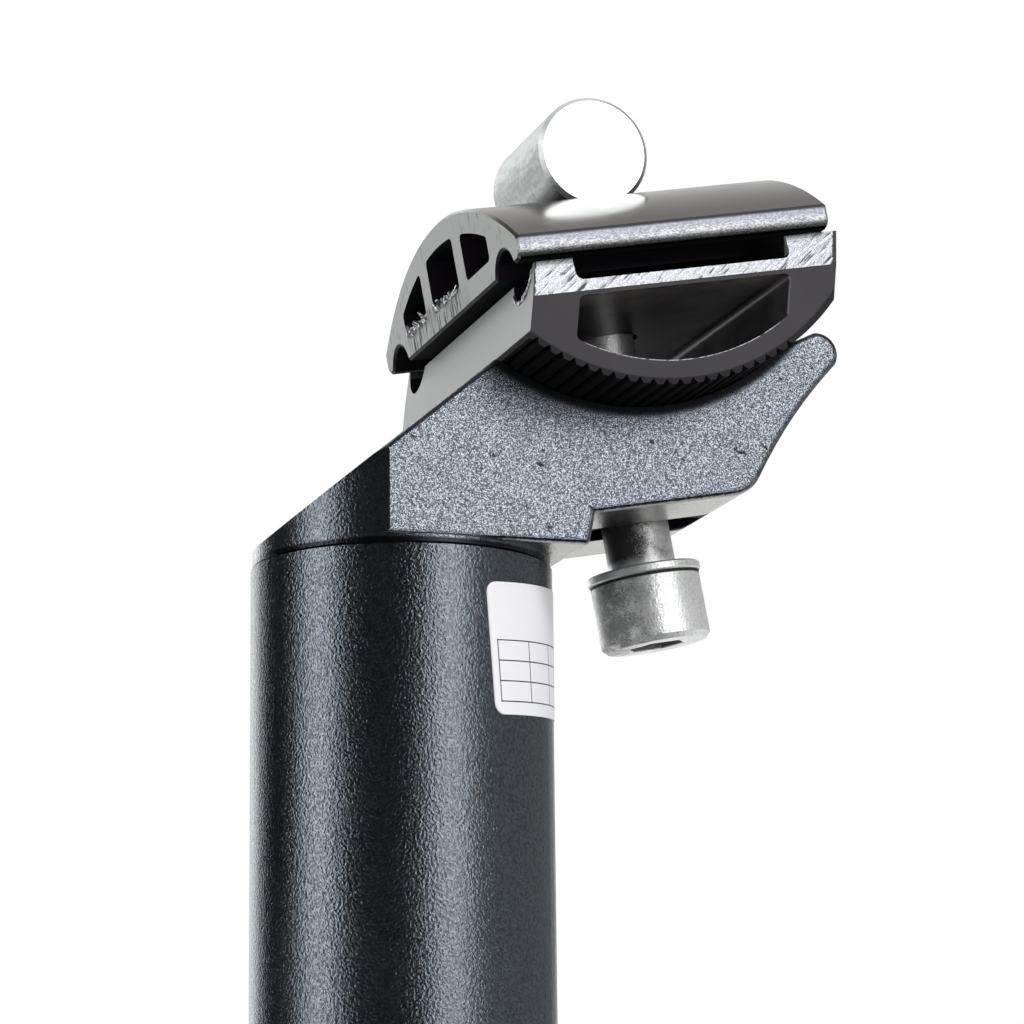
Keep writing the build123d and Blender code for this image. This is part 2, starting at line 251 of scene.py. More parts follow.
def makeHeadCoat():
    material, tree, shader = startMaterial("headBlastedCoat")
    coords = objectCoords(tree)
    along, across, above = split(tree, clampCoords(tree))
    rise = split(tree, coords)[2]
    reach = tiltReach(tree, along, above)
    outward = absolute(tree, facing(tree, acrossDir))
    grit = noise(tree, coords, *headCoat["grit"])
    fine = noise(tree, coords, *headCoat["fine"])
    color = mixColour(tree, remap(tree, grit, *headCoat["glitterRange"]), headCoat["mid"], headCoat["light"])
    # the round neck is pebbled as the tube is
    flank = remap(tree, outward, *headCoat["flankRange"])
    pebble = noise(tree, coords, *tubeCoat["pebble"])
    color = mixColour(tree, flank, pebbleColour(tree, pebble), color)
    # painted reflection: paler where the forging faces down, for the pale floor below
    floorReflection = remap(tree, facing(tree, -upDir), *headCoat["underRange"])
    color = mixColour(tree, floorReflection, color, headCoat["under"])
    # painted shade: black in the cradle, round its edge and in the slot for the screw
    cradle = remap(tree, reach, *beyond(lowerJaw["toothRadius"], headCoat["cradleSteps"]))
    nearBlack = remap(tree, reach, *beyond(lowerJaw["toothRadius"], headCoat["cradleShadeSteps"]))
    nearBlack = calc(tree, "MULTIPLY_ADD", grit, headCoat["cradleShadeGrit"], nearBlack)
    nearBlack = remap(tree, nearBlack, *headCoat["cradleShadeRange"])
    slotSides = remap(tree, absolute(tree, across), *beyond(headSlot["halfWidth"], headCoat["slotSteps"]))
    slotEnds = remap(tree, absolute(tree, along), *beyond(headSlot["halfLength"], headCoat["slotSteps"]))
    cradleAndSlotShade = largest(tree, cradle, nearBlack, product(tree, slotSides, slotEnds))
    # short dark scars of the forging
    scarCoords = stretched(tree, coords, headCoat["scarStretch"], headCoat["scarTurn"])
    scar = remap(tree, noise(tree, scarCoords, *headCoat["scar"]), *headCoat["scarRange"], smooth=True)
    scar = product(tree, scar, remap(tree, fine, *headCoat["scarGrit"]))
    # painted shade: a dark line above the tube, and rounded upper edges that hold less light
    seam = remap(tree, rise, *headCoat["seamRange"])
    rim = product(tree, remap(tree, outward, *headCoat["rimStart"]),
                  remap(tree, outward, *headCoat["rimEnd"]),
                  remap(tree, facing(tree, upDir), *headCoat["rimUpward"]))
    color = mixColour(tree, largest(tree, scar, cradleAndSlotShade, seam, rim), color, headCoat["dark"])
    height = calc(tree, "MULTIPLY_ADD", fine, headCoat["fineShare"], grit)
    height = calc(tree, "MULTIPLY_ADD", scar, headCoat["scarHeight"], height)
    pebbleHeight = product(tree, pebble, tubeCoat["depth"] / headCoat["depth"])
    height = mixValue(tree, flank, pebbleHeight, height)
    rough = mixValue(tree, cradleAndSlotShade, headCoat["roughness"], headCoat["shadeRough"])
    setInputs(tree, shader, color=color, roughness=rough, metallic=headCoat["metallic"],
              normal=bump(tree, height, headCoat["depth"]))
    return material


# Black coat of both jaws, with light grey painted on their end faces for the glare of the bright surround
jawCoat = {"black": (0.0115, 0.0090, 0.0125, 1), "nearBlack": (0.002, 0.002, 0.003, 1), "shadeRough": 0.85,
           "endGlare": (0.262, 0.276, 0.268, 1), "endFaceRange": (0.86, 0.93), "endFaceRough": 0.42,
           "bareRough": 0.36, "cloud": (6 * mm, 3, 0.55), "cloudRange": (0.3, 0.7),
           "roughRange": (0.15, 0.23), "specular": 0.17}

# Lower jaw: milled lips, a chipped line under the window, painted shade in the teeth and window
lowerFinish = {"bare": (0.285, 0.291, 0.306, 1), "bareMid": (0.155, 0.160, 0.176, 1),
               "bareDark": (0.03, 0.03, 0.035, 1), "lipOutward": (0.90, 0.96), "lipUpward": (0.08, 0.12),
               "lipSideSteps": (-1.4 * mm, -1.2 * mm), "lipRearSteps": (-0.3 * mm, -0.5 * mm),
               "lipFrontSteps": (0.1 * mm, 0.25 * mm), "fray": (0.5 * mm, 2, 0.6), "frayReach": 0.7 * mm,
               "cutter": (0.36 * mm, 2, 0.55), "cutterStretch": (30, 1, 1),
               "cutterTurn": (0, math.radians(-38), 0), "cutterRange": (0.43, 0.35),
               "bunch": (2.4 * mm, 1, 0.5), "bunchRange": (0.38, 0.54), "bunchShare": (0.35, 1),
               "sparkle": (0.17 * mm, 2, 0.65), "sparkleRange": (0.40, 0.62), "sparkleShare": 0.3,
               "depth": 0.05 * mm, "rimOuterSteps": (0.10 * mm, 0.06 * mm),
               "rimInnerSteps": (-0.05 * mm, 0.0), "rimOutward": (0.97, 0.99),
               "rimSpread": (math.radians(31), math.radians(29)),
               "chips": (0.9 * mm, 2, 0.6), "chipRange": (0.34, 0.46),
               "toothSteps": (-0.80 * mm, -0.65 * mm), "toothOutward": (0.95, 0.85), "toothShare": (0.5, 1.0),
               "windowShade": (0.034, 0.031, 0.032, 1), "windowReflection": (0.088, 0.082, 0.079, 1),
               "windowCloud": (0.38, 0.64), "windowRough": 0.34, "windowSideSteps": (-0.3 * mm, -0.6 * mm),
               "windowFloorSteps": (0.1 * mm, 0.0), "windowTop": (-14.6 * mm, -15.0 * mm),
               "windowEnds": (15.3 * mm, 14.8 * mm)}


def makeLowerCoat():
    material, tree, shader = startMaterial("lowerJawCoat")
    local = clampCoords(tree)
    along, across, above = split(tree, local)
    aside = absolute(tree, across)
    reach = tiltReach(tree, along, above)
    outward = absolute(tree, facing(tree, acrossDir))
    cloud = noise(tree, local, *jawCoat["cloud"])
    # milled bands along both lips; level is the way along the rails with the lean of the ends taken out
    level = calc(tree, "MULTIPLY_ADD", above, -lowerJaw["endSlope"], along)
    frayed = wander(tree, level, noise(tree, local, *lowerFinish["fray"]), lowerFinish["frayReach"])
    lip = product(tree, remap(tree, outward, *lowerFinish["lipOutward"]),
                  remap(tree, facing(tree, screwDir), *lowerFinish["lipUpward"]),
                  remap(tree, aside, *beyond(lowerJaw["halfWidth"], lowerFinish["lipSideSteps"])),
                  remap(tree, frayed, *beyond(lowerJaw["rearEnd"], lowerFinish["lipRearSteps"])),
                  remap(tree, frayed, *beyond(lowerJaw["frontEnd"], lowerFinish["lipFrontSteps"])))
    cutterCoords = stretched(tree, local, lowerFinish["cutterStretch"], lowerFinish["cutterTurn"])
    cutter = noise(tree, cutterCoords, *lowerFinish["cutter"])
    bunch = noise(tree, local, *lowerFinish["bunch"])
    scratch = product(tree, remap(tree, cutter, *lowerFinish["cutterRange"]),
                      remap(tree, bunch, *lowerFinish["bunchRange"], *lowerFinish["bunchShare"]))
    sparkle = noise(tree, local, *lowerFinish["sparkle"])
    bare = mixColour(tree, remap(tree, sparkle, *lowerFinish["sparkleRange"]), lowerFinish["bareMid"],
                     lowerFinish["bare"])
    bare = mixColour(tree, scratch, bare, lowerFinish["bareDark"])
    # chipped bright line along the window's lower edge
    edge = calc(tree, "SUBTRACT", reach, lowerJaw["windowRadius"])
    spread = absolute(tree, calc(tree, "ARCTAN2", along, product(tree, above, -1.0)))
    chips = noise(tree, local, *lowerFinish["chips"])
    rim = product(tree, remap(tree, edge, *lowerFinish["rimOuterSteps"]),
                  remap(tree, edge, *lowerFinish["rimInnerSteps"]),
                  remap(tree, chips, *lowerFinish["chipRange"]),
                  remap(tree, outward, *lowerFinish["rimOutward"]),
                  remap(tree, spread, *lowerFinish["rimSpread"]))
    metal = largest(tree, lip, rim)
    # painted shade: black in the teeth and inside the window, with painted reflections in the window
    teeth = product(tree, remap(tree, reach, *beyond(lowerJaw["toothRadius"], lowerFinish["toothSteps"])),
                    remap(tree, outward, *lowerFinish["toothOutward"], *lowerFinish["toothShare"]))
    window = product(tree, remap(tree, aside, *beyond(lowerJaw["halfWidth"], lowerFinish["windowSideSteps"])),
                     remap(tree, reach, *beyond(lowerJaw["windowRadius"], lowerFinish["windowFloorSteps"])),
                     remap(tree, above, *lowerFinish["windowTop"]),
                     remap(tree, absolute(tree, along), *lowerFinish["windowEnds"]))
    windowShadeAndReflection = mixColour(tree, remap(tree, cloud, *lowerFinish["windowCloud"]), lowerFinish["windowShade"],
                     lowerFinish["windowReflection"])
    # painted reflection: light grey on the end faces for their glare
    ends = remap(tree, absolute(tree, facing(tree, railDir)), *jawCoat["endFaceRange"])
    color = mixColour(tree, ends, jawCoat["black"], jawCoat["endGlare"])
    color = mixColour(tree, metal, color, bare)
    color = mixColour(tree, window, color, windowShadeAndReflection)
    color = mixColour(tree, teeth, color, jawCoat["nearBlack"])
    rough = remap(tree, cloud, *jawCoat["cloudRange"], *jawCoat["roughRange"])
    rough = mixValue(tree, ends, rough, jawCoat["endFaceRough"])
    rough = mixValue(tree, metal, rough, jawCoat["bareRough"])
    rough = mixValue(tree, window, rough, lowerFinish["windowRough"])
    rough = mixValue(tree, teeth, rough, jawCoat["shadeRough"])
    height = product(tree, calc(tree, "MULTIPLY_ADD", sparkle, lowerFinish["sparkleShare"], cutter), lip)
    setInputs(tree, shader, color=color, roughness=rough, metallic=metal, specular=jawCoat["specular"],
              normal=bump(tree, height, lowerFinish["depth"]))
    return material


# Upper jaw: satin top, a sparkling bare strip down each long side, saw marks on the ends
upperFinish = {"top": (0.036, 0.032, 0.028, 1), "topRange": (0.15, 0.40), "underRange": (-0.6, -0.8),
               "stripDark": (0.17, 0.17, 0.188, 1), "stripCool": (0.27, 0.275, 0.36, 1),
               "stripWarm": (0.52, 0.525, 0.51, 1), "warmDrop": (0.7 * mm, 1.8 * mm),
               "stripOutward": (0.25, 0.45), "stripUpward": (0.15, 0.08),
               "stripSideSteps": (-1.2 * mm, -1.0 * mm), "stripDrop": (0.25 * mm, 0.55 * mm),
               "sparkle": (0.15 * mm, 2, 0.65), "sparkleStretch": (2.0, 1, 1), "sparkleRange": (0.42, 0.66),
               "sparkleShare": 0.25, "saw": (0.35 * mm, 2, 0.6), "sawStretch": (1, 1, 12),
               "sawRange": (0.52, 0.62), "nickRange": (0.66, 0.71), "sawEndward": (0.90, 0.97),
               "patch": (5 * mm, 2, 0.5), "patchRange": (0.36, 0.46), "sawLevel": (-6.6 * mm, -7.6 * mm),
               "sawAcross": (-9 * mm, -4 * mm), "sawRough": 0.62, "depth": 0.08 * mm}


def makeUpperCoat():
    material, tree, shader = startMaterial("upperJawCoat")
    local = clampCoords(tree)
    across, above = split(tree, local)[1:3]
    cloud = noise(tree, local, *jawCoat["cloud"])
    outward = absolute(tree, facing(tree, acrossDir))
    upward = facing(tree, screwDir)
    endward = absolute(tree, facing(tree, railDir))
    # sparkling bare strip down each long side and round its lower edge
    drop = calc(tree, "SUBTRACT", upperJaw["shoulder"], above)
    strip = product(tree, remap(tree, outward, *upperFinish["stripOutward"]),
                    remap(tree, upward, *upperFinish["stripUpward"]),
                    remap(tree, absolute(tree, across),
                          *beyond(upperJaw["halfWidth"], upperFinish["stripSideSteps"])),
                    remap(tree, drop, *upperFinish["stripDrop"]))
    sparkle = noise(tree, stretched(tree, local, upperFinish["sparkleStretch"]), *upperFinish["sparkle"])
    # the strip's cool tone grows paler and warmer where it rounds its lower edge; the paler part is painted
    # highlight
    light = mixColour(tree, remap(tree, drop, *upperFinish["warmDrop"]), upperFinish["stripCool"],
                      upperFinish["stripWarm"])
    bare = mixColour(tree, remap(tree, sparkle, *upperFinish["sparkleRange"]), upperFinish["stripDark"],
                     light)
    # saw marks run down the end faces, most of them under the windows
    sawField = noise(tree, stretched(tree, local, upperFinish["sawStretch"]), *upperFinish["saw"])
    sawnFace = remap(tree, endward, *upperFinish["sawEndward"])
    patch = noise(tree, local, *upperFinish["patch"])
    marks = product(tree, remap(tree, sawField, *upperFinish["sawRange"]),
                    remap(tree, patch, *upperFinish["patchRange"]), sawnFace,
                    remap(tree, above, *upperFinish["sawLevel"]),
                    remap(tree, across, *upperFinish["sawAcross"]))
    nicks = product(tree, remap(tree, sawField, *upperFinish["nickRange"]), sawnFace)
    saw = largest(tree, marks, nicks)
    # painted shade: near black on the faces under the jaw; the same near black also colours the real saw
    # marks
    under = remap(tree, upward, *upperFinish["underRange"])
    # painted reflection: light grey on the end faces for their glare
    ends = remap(tree, endward, *jawCoat["endFaceRange"])
    color = mixColour(tree, ends, jawCoat["black"], jawCoat["endGlare"])
    # warm tint of the coat on the upward faces, lightened there as painted light
    color = mixColour(tree, remap(tree, upward, *upperFinish["topRange"]), color, upperFinish["top"])
    color = mixColour(tree, strip, color, bare)
    color = mixColour(tree, largest(tree, saw, under), color, jawCoat["nearBlack"])
    rough = remap(tree, cloud, *jawCoat["cloudRange"], *jawCoat["roughRange"])
    rough = mixValue(tree, ends, rough, jawCoat["endFaceRough"])
    rough = mixValue(tree, strip, rough, jawCoat["bareRough"])
    rough = mixValue(tree, saw, rough, upperFinish["sawRough"])
    rough = mixValue(tree, under, rough, jawCoat["shadeRough"])
    grain = product(tree, sparkle, strip, upperFinish["sparkleShare"])
    setInputs(tree, shader, color=color, roughness=rough, metallic=strip, specular=jawCoat["specular"],
              normal=bump(tree, calc(tree, "SUBTRACT", grain, saw), upperFinish["depth"]))
    return material


# Zinc plate of the screw and washer, with grime and painted shade on the side that faces forward
zincPlate = {"pale": (0.97, 0.98, 0.97, 1), "dull": (0.88, 0.90, 0.89, 1), "stainAndShade": (0.035, 0.035, 0.033, 1),
             "patch": (2.2 * mm, 4, 0.65), "patchRange": (0.38, 0.62), "spot": (0.5 * mm, 3, 0.65),
             "fleck": (0.22 * mm, 2, 0.6), "fleckRange": (0.50, 0.70), "fleckShare": 0.35,
             "fleckHeight": 0.8, "headTop": -44.4 * mm, "seamLow": (-0.42 * mm, -0.27 * mm),
             "seamHigh": (0.12 * mm, 0.0), "seamRough": 0.6, "patchReach": 10 * mm, "fleckReach": 9 * mm,
             "grimeAndShadeRange": (-1.5 * mm, -6.0 * mm), "grimeAndShadeRise": (0.05 * mm, 0.20 * mm),
             "grimeAndShadeShare": (0.75, 0.25), "neckRise": (1.5 * mm, 2.5 * mm), "neckRange": (1.8 * mm, -2.0 * mm),
             "neckShare": (0.30, 0.95), "neckTop": (13 * mm, 11 * mm), "neckTopShare": (0.25, 1.0),
             "socketReach": (3.62 * mm, 3.50 * mm), "socketShare": (0, 0.8),
             "socketMouth": (-7.95 * mm, -7.85 * mm), "dullRange": (0.35, 0.65), "roughRange": (0.44, 0.36),
             "metallic": 0.8, "depth": 0.06 * mm}


def makeZinc():
    material, tree, shader = startMaterial("zincSteel")
    coords = objectCoords(tree)
    along, across, above = split(tree, clampCoords(tree))
    rise = calc(tree, "SUBTRACT", above, zincPlate["headTop"])
    patch = noise(tree, coords, *zincPlate["patch"])
    spot = noise(tree, coords, *zincPlate["spot"])
    fleck = noise(tree, coords, *zincPlate["fleck"])
    color = mixColour(tree, remap(tree, patch, *zincPlate["patchRange"]), zincPlate["dull"],
                      zincPlate["pale"])
    flecks = product(tree, remap(tree, fleck, *zincPlate["fleckRange"], smooth=True), zincPlate["fleckShare"])
    # painted shade: dark line where the screw head meets the washer
    seam = product(tree, remap(tree, rise, *zincPlate["seamLow"]), remap(tree, rise, *zincPlate["seamHigh"]))
    # grime and painted shade on the forward side, less on the washer, and painted shade more up the neck
    forward = wander(tree, along, patch, zincPlate["patchReach"])
    forward = wander(tree, forward, fleck, zincPlate["fleckReach"])
    grimeAndShade = product(tree, remap(tree, forward, *zincPlate["grimeAndShadeRange"]),
                    remap(tree, rise, *zincPlate["grimeAndShadeRise"], *zincPlate["grimeAndShadeShare"]))
    neck = product(tree, remap(tree, forward, *zincPlate["neckRange"], *zincPlate["neckShare"]),
                   remap(tree, rise, *zincPlate["neckTop"], *zincPlate["neckTopShare"]),
                   remap(tree, rise, *zincPlate["neckRise"]))
    # painted shade in the socket for the key
    apart = calc(tree, "MULTIPLY_ADD", along, along, product(tree, across, across))
    socket = product(tree, remap(tree, calc(tree, "SQRT", apart), *zincPlate["socketReach"],
                                 *zincPlate["socketShare"]),
                     remap(tree, rise, *zincPlate["socketMouth"]))
    color = mixColour(tree, largest(tree, flecks, grimeAndShade, seam, neck, socket), color, zincPlate["stainAndShade"])
    rough = remap(tree, patch, *zincPlate["dullRange"], *zincPlate["roughRange"])
    rough = mixValue(tree, seam, rough, zincPlate["seamRough"])
    height = calc(tree, "MULTIPLY_ADD", fleck, zincPlate["fleckHeight"], spot)
    setInputs(tree, shader, color=color, roughness=rough, metallic=zincPlate["metallic"],
              normal=bump(tree, height, zincPlate["depth"]))
    return material


# Turned ends of the dowel nut are brighter than its plated side
dowelPlate = {"end": (0.80, 0.81, 0.81, 1), "ring": (0.55, 0.58, 0.57, 1), "side": (0.24, 0.26, 0.25, 1),
              "sidePale": (0.33, 0.35, 0.34, 1), "endRange": (0.90, 0.97), "ringRange": (0.45, 0.60),
              "spot": (0.7 * mm, 3, 0.6), "spotRange": (0.35, 0.65), "drawn": (0.5 * mm, 2, 0.55),
              "drawnStretch": (1, 8, 1), "drawnRange": (0.3, 0.7), "roughRange": (0.34, 0.44),
              "metallic": 0.95, "depth": 0.02 * mm}


def makeDowelZinc():
    material, tree, shader = startMaterial("zincDowel")
    coords = objectCoords(tree)
    outward = absolute(tree, facing(tree, acrossDir))
    drawn = noise(tree, stretched(tree, coords, dowelPlate["drawnStretch"]), *dowelPlate["drawn"])
    spot = noise(tree, coords, *dowelPlate["spot"])
    color = mixColour(tree, remap(tree, spot, *dowelPlate["spotRange"]), dowelPlate["side"],
                      dowelPlate["sidePale"])
    color = mixColour(tree, remap(tree, outward, *dowelPlate["ringRange"]), color, dowelPlate["ring"])
    color = mixColour(tree, remap(tree, outward, *dowelPlate["endRange"]), color, dowelPlate["end"])
    rough = remap(tree, drawn, *dowelPlate["drawnRange"], *dowelPlate["roughRange"])
    setInputs(tree, shader, color=color, roughness=rough, metallic=dowelPlate["metallic"],
              normal=bump(tree, drawn, dowelPlate["depth"]))
    return material


dress("tube", makeTubeCoat())
dress("head", makeHeadCoat())
dress("lower_clamp", makeLowerCoat())
dress("upper_clamp", makeUpperCoat())
zincSteel = makeZinc()
dress("clamp_bolt", zincSteel)
dress("washer", zincSteel)
dress("barrel_nut", makeDowelZinc())
print("finishes on", len(nodes), "nodes")

# Ragged burrs that milling and sawing left at the clamp's front end
burrs = {"metal": (0.62, 0.62, 0.64, 1), "shadow": (0.10, 0.10, 0.11, 1), "crumple": (0.3 * mm, 3, 0.6),
         "crumpleRange": (0.36, 0.56), "depth": 0.05 * mm, "roughness": 0.32, "metallic": 1.0,
         "step": 0.11 * mm, "ridgeSides": 8, "swell": 0.9 * mm, "swellDetail": 3.0, "swellRange": (0.3, 0.7),
         "swellShare": (0.35, 1.5), "chipSides": 4, "chipTip": 0.16 * mm, "chipFoot": 0.42 * mm,
         "chipTurn": Vector((1.3, 1.3, 3.1)), "chipGrowth": (0.45, 1.25), "jitter": 0.35 * mm,
         "jitterDetail": 2.0, "sillEnd": -18.0 * mm, "sillLevel": -8.15 * mm, "sillSteps": 20,
         "grooveFrom": math.radians(14), "grooveTurn": math.radians(128), "grooveSteps": 40,
         "standOff": 0.12 * mm}
sillBurrs = {"centre_sill_burr": {"from": -4.6 * mm, "to": 4.9 * mm, "radius": 0.34 * mm, "ragged": 0.75 * mm,
                                  "chip": 0.85 * mm, "chance": 0.30, "seed": 4},
             "far_sill_burr": {"from": 9.0 * mm, "to": 16.6 * mm, "radius": 0.46 * mm, "ragged": 1.05 * mm,
                               "chip": 1.25 * mm, "chance": 0.40, "seed": 11}}
grooveBurr = {"radius": 0.23 * mm, "ragged": 0.16 * mm, "chip": 0.25 * mm, "chance": 0.05, "seed": 7}


def inClamp(along, across, above):
    return tiltCentre + railDir * along + screwDir * above + acrossDir * across


def sillPath(burr):
    # along the sill of a window in the upper jaw
    path = []
    for k in range(burrs["sillSteps"] + 1):
        across = burr["from"] + (burr["to"] - burr["from"]) * k / burrs["sillSteps"]
        path.append(inClamp(burrs["sillEnd"], across, burrs["sillLevel"]))
    return path


def groovePath():
    # round the near rail groove's lower edge, on the leaning end face of the lower jaw
    radius = lowerJaw["grooveRadius"] + burrs["standOff"]
    path = []
    for k in range(burrs["grooveSteps"] + 1):
        turn = burrs["grooveFrom"] + burrs["grooveTurn"] * k / burrs["grooveSteps"]
        across = -lowerJaw["grooveOffset"] - radius * math.cos(turn)
        above = -lowerJaw["grooveDrop"] - radius * math.sin(turn)
        path.append(inClamp(lowerJaw["frontEnd"] + lowerJaw["endSlope"] * above, across, above))
    return path


def makeBurrMetal():
    material, tree, shader = startMaterial("burrMetal")
    crumple = noise(tree, objectCoords(tree), *burrs["crumple"])
    color = mixColour(tree, remap(tree, crumple, *burrs["crumpleRange"]), burrs["shadow"], burrs["metal"])
    setInputs(tree, shader, color=color, roughness=burrs["roughness"], metallic=burrs["metallic"],
              normal=bump(tree, crumple, burrs["depth"]))
    return material


def seededNoise(tree, place, seed, size, detail):
    return addNode(tree, "TexNoise", {"Vector": place, "W": seed, "Scale": 1 / size, "Detail": detail},
                   noise_dimensions="4D").outputs


def makeBurrTree():
    tree = bpy.data.node_groups.new("raggedBurr", "GeometryNodeTree")
    sockets = tree.interface
    sockets.new_socket("Path", in_out="INPUT", socket_type="NodeSocketGeometry")
    for name in ("Step", "Ridge Radius", "Ragged", "Chip Length", "Chip Chance"):
        sockets.new_socket(name, in_out="INPUT", socket_type="NodeSocketFloat")
    sockets.new_socket("Seed", in_out="INPUT", socket_type="NodeSocketInt")
    sockets.new_socket("Material", in_out="INPUT", socket_type="NodeSocketMaterial")
    sockets.new_socket("Burr", in_out="OUTPUT", socket_type="NodeSocketGeometry")
    given = addNode(tree, "NodeGroupInput").outputs
    seed = given["Seed"]
    place = addNode(tree, "GeometryNodeInputPosition").outputs[0]
    # a ridge of changing thickness along the path
    curve = addNode(tree, "GeometryNodeMeshToCurve", {"Mesh": given["Path"]}).outputs[0]
    curve = addNode(tree, "GeometryNodeResampleCurve", {"Curve": curve, "Length": given["Step"]},
                    mode="LENGTH").outputs[0]
    swell = seededNoise(tree, place, seed, burrs["swell"], burrs["swellDetail"])[0]
    radius = product(tree, given["Ridge Radius"],
                     remap(tree, swell, *burrs["swellRange"], *burrs["swellShare"]))
    ring = addNode(tree, "GeometryNodeCurvePrimitiveCircle",
                   {"Resolution": burrs["ridgeSides"], "Radius": 1.0}).outputs[0]
    ridge = addNode(tree, "GeometryNodeCurveToMesh", {"Curve": curve, "Profile Curve": ring, "Scale": radius,
                                                      "Fill Caps": True}).outputs[0]
    # chips stand off the ridge at odd angles
    chance = addNode(tree, "FunctionNodeRandomValue", {"Probability": given["Chip Chance"], "Seed": seed},
                     data_type="BOOLEAN").outputs[3]
    turn = addNode(tree, "FunctionNodeRandomValue", {0: -burrs["chipTurn"], 1: burrs["chipTurn"],
                                                     "Seed": seed}, data_type="FLOAT_VECTOR").outputs[0]
    low, high = burrs["chipGrowth"]
    grow = addNode(tree, "FunctionNodeRandomValue", {2: low, 3: high, "Seed": seed},
                   data_type="FLOAT").outputs[1]
    cone = addNode(tree, "GeometryNodeMeshCone",
                   {"Vertices": burrs["chipSides"], "Radius Top": burrs["chipTip"],
                    "Radius Bottom": burrs["chipFoot"], "Depth": given["Chip Length"]}).outputs[0]
    chips = addNode(tree, "GeometryNodeInstanceOnPoints",
                    {"Points": curve, "Selection": chance, "Instance": cone, "Rotation": turn,
                     "Scale": grow}).outputs[0]
    both = addNode(tree, "GeometryNodeJoinGeometry")
    tree.links.new(ridge, both.inputs[0])
    tree.links.new(chips, both.inputs[0])
    solid = addNode(tree, "GeometryNodeRealizeInstances", {0: both.outputs[0]}).outputs[0]
    # crumple everything a little
    jitter = seededNoise(tree, place, seed, burrs["jitter"], burrs["jitterDetail"])[1]
    centred = addNode(tree, "VectorMath", {0: jitter, 1: (0.5, 0.5, 0.5)}, operation="SUBTRACT").outputs[0]
    shift = addNode(tree, "VectorMath", {0: centred, "Scale": given["Ragged"]}, operation="SCALE").outputs[0]
    solid = addNode(tree, "GeometryNodeSetPosition", {"Geometry": solid, "Offset": shift}).outputs[0]
    solid = addNode(tree, "GeometryNodeSetMaterial", {"Geometry": solid,
                                                      "Material": given["Material"]}).outputs[0]
    addNode(tree, "NodeGroupOutput", {0: solid})
    return tree


def growFrom(name, tree, path, values):
    # runs a node tree over a path and keeps its plain mesh
    data = bpy.data.meshes.new(name + "_path")
    data.from_pydata(path, [(k, k + 1) for k in range(len(path) - 1)], [])
    piece = bpy.data.objects.new(name, data)
    scene.collection.objects.link(piece)
    modifier = piece.modifiers.new("grow", "NODES")
    modifier.node_group = tree
    for item in tree.interface.items_tree:
        if item.in_out == "INPUT" and item.name in values:
            modifier[item.identifier] = values[item.name]
    graph = bpy.context.evaluated_depsgraph_get()
    mesh = bpy.data.meshes.new_from_object(piece.evaluated_get(graph), depsgraph=graph)
    piece.modifiers.clear()
    piece.data = mesh
    mesh.name = name
    bpy.data.meshes.remove(data)
    return piece


def makeBurrs():
    tree = makeBurrTree()
    metal = makeBurrMetal()
    pieces = [(name, burr, "upper_jaw", sillPath(burr)) for name, burr in sillBurrs.items()]
    pieces.append(("groove_burr", grooveBurr, "lower_jaw", groovePath()))
    for name, burr, body, path in pieces:
        piece = growFrom(name, tree, path, {"Step": burrs["step"], "Ridge Radius": burr["radius"],
                                            "Ragged": burr["ragged"], "Chip Length": burr["chip"],
                                            "Chip Chance": burr["chance"], "Seed": burr["seed"],
                                            "Material": metal})
        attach(piece, body)


makeBurrs()
print("burrs grown")

# Blank paper label on the tube, a little askew, ruled as an empty table
tubeLabel = {"leftTurn": -72.85, "top": -3.9 * mm, "width": 28.0 * mm, "height": 15.0 * mm, "askew": 4.6,
             "corner": 1.3 * mm, "thick": 0.09 * mm, "sunk": 0.06 * mm, "columns": 64, "rows": 28,
             "paper": (0.74, 0.74, 0.77, 1), "rule": (0.03, 0.03, 0.035, 1), "ruleHalf": 0.09 * mm,
             "ruleCore": 0.6, "frameReach": 1.2, "margin": 1.0 * mm, "columnPitch": 5.2 * mm,
             "tableColumns": 5, "tableTop": 6.6 * mm, "rowPitch": 2.3 * mm, "tableRows": 3,
             "fibre": (0.3 * mm, 3, 0.6), "fibreDepth": 0.01 * mm, "roughness": 0.42, "specular": 0.4}


def labelPoint(u, v, radius):
    askew = math.radians(tubeLabel["askew"])
    arc = u * math.cos(askew) + v * math.sin(askew)
    drop = v * math.cos(askew) - u * math.sin(askew)
    turn = math.radians(tubeLabel["leftTurn"]) + arc / tubeRadius
    return (radius * math.cos(turn), radius * math.sin(turn), tubeLabel["top"] - drop)


def makeLabelPaper():
    material, tree, shader = startMaterial("labelPaper")
    place = split(tree, addNode(tree, "UVMap", uv_map="sheet").outputs[0])
    u = product(tree, place[0], tubeLabel["width"])
    v = product(tree, calc(tree, "SUBTRACT", 1.0, place[1]), tubeLabel["height"])
    half = tubeLabel["ruleHalf"]
    outer = half * tubeLabel["frameReach"]
    rules = []
    limits = []
    for value, start, pitch, count in (
            (u, tubeLabel["margin"], tubeLabel["columnPitch"], tubeLabel["tableColumns"]),
            (v, tubeLabel["tableTop"], tubeLabel["rowPitch"], tubeLabel["tableRows"])):
        away = calc(tree, "PINGPONG", calc(tree, "SUBTRACT", value, start), pitch / 2)
        rules.append(remap(tree, away, half, half * tubeLabel["ruleCore"]))
        end = start + count * pitch
        limits.append(remap(tree, value, start - outer, start - half))
        limits.append(remap(tree, value, end + outer, end + half))
    table = product(tree, largest(tree, *rules), *limits)
    fibre = noise(tree, objectCoords(tree), *tubeLabel["fibre"])
    setInputs(tree, shader, color=mixColour(tree, table, tubeLabel["paper"], tubeLabel["rule"]),
              roughness=tubeLabel["roughness"], specular=tubeLabel["specular"],
              normal=bump(tree, fibre, tubeLabel["fibreDepth"]))
    return material


